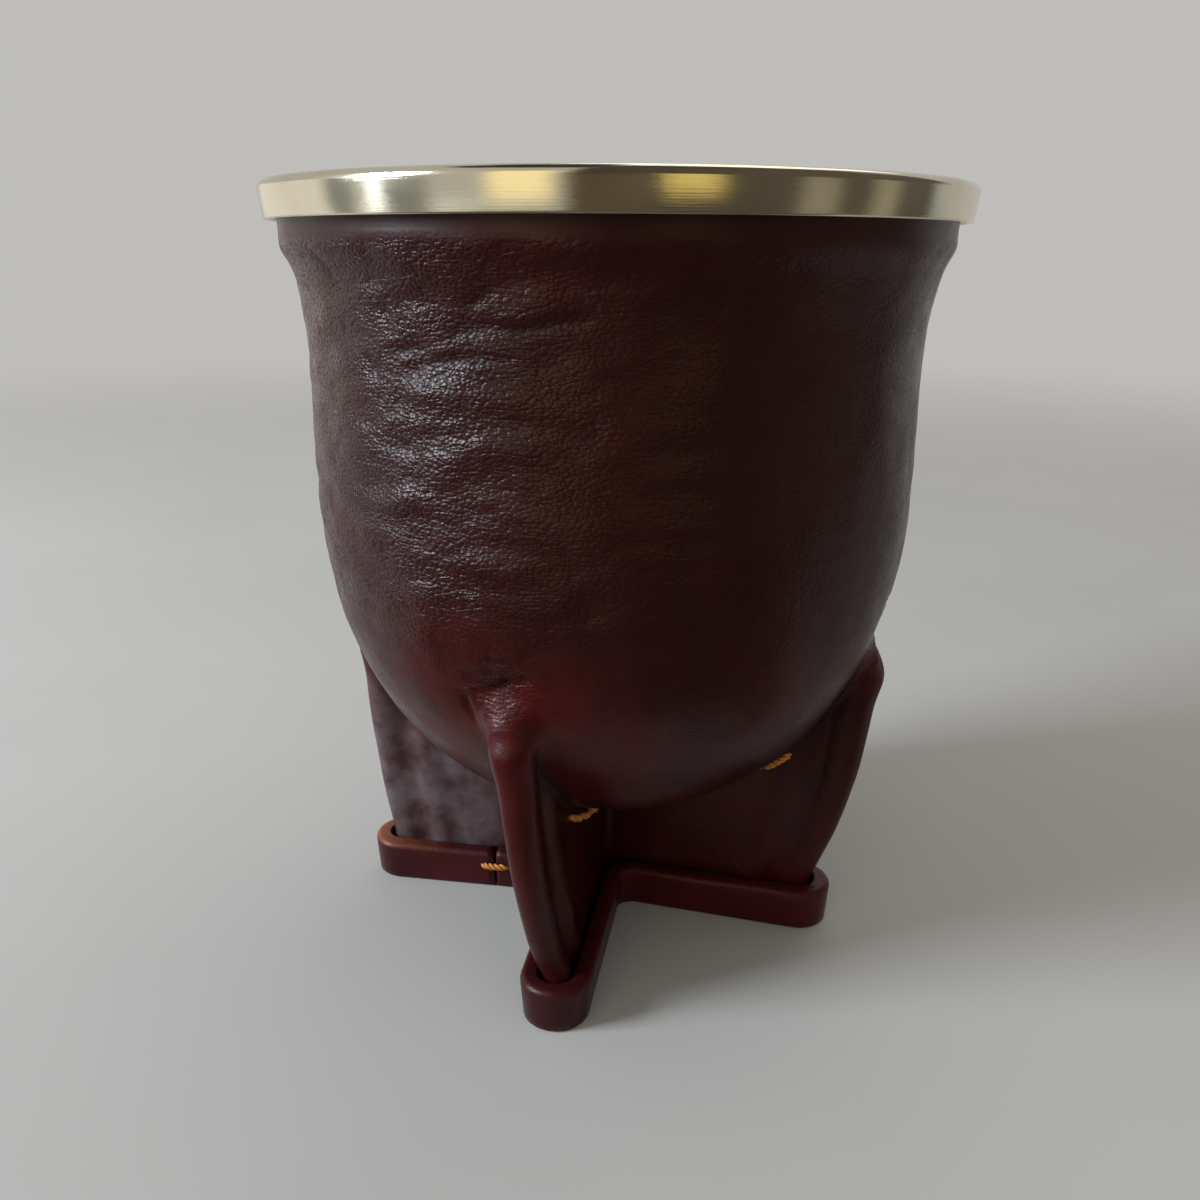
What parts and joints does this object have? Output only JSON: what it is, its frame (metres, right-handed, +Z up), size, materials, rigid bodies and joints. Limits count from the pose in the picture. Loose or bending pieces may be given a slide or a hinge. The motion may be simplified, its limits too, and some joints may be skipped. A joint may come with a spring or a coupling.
{
  "type": "mate cup",
  "caption": "Leather-covered gourd mate cup with a flared metal-rimmed mouth, standing on pinched leather fins set in a cross, with a stitched leather strip round the foot.",
  "frame": {"origin": "on the table, under the axis of the bowl", "axes": "+Z up along the bowl's axis, the front fin points to -Y and the right fin about to +X"},
  "size_m": [0.09, 0.09, 0.1037],
  "materials": {
    "gourd_shell": "cured gourd, dull and slightly fibrous",
    "cover_leather": "dark red, wet-moulded and waxed, semi-gloss grain",
    "nickel_silver": "finely turned nickel silver, polished",
    "welt_leather": "dark red, burnished edge",
    "waxed_thread": "twisted golden thread, waxed"
  },
  "bodies": {
    "root": {"gourd": "gourd_shell", "leather_cover": "cover_leather", "rim": "nickel_silver", "foot_welt": "welt_leather", "front_seam_thread": "waxed_thread", "right_seam_thread": "waxed_thread", "back_seam_thread": "waxed_thread", "left_seam_thread": "waxed_thread", "welt_stitch": "waxed_thread"}
  },
  "joints": []
}
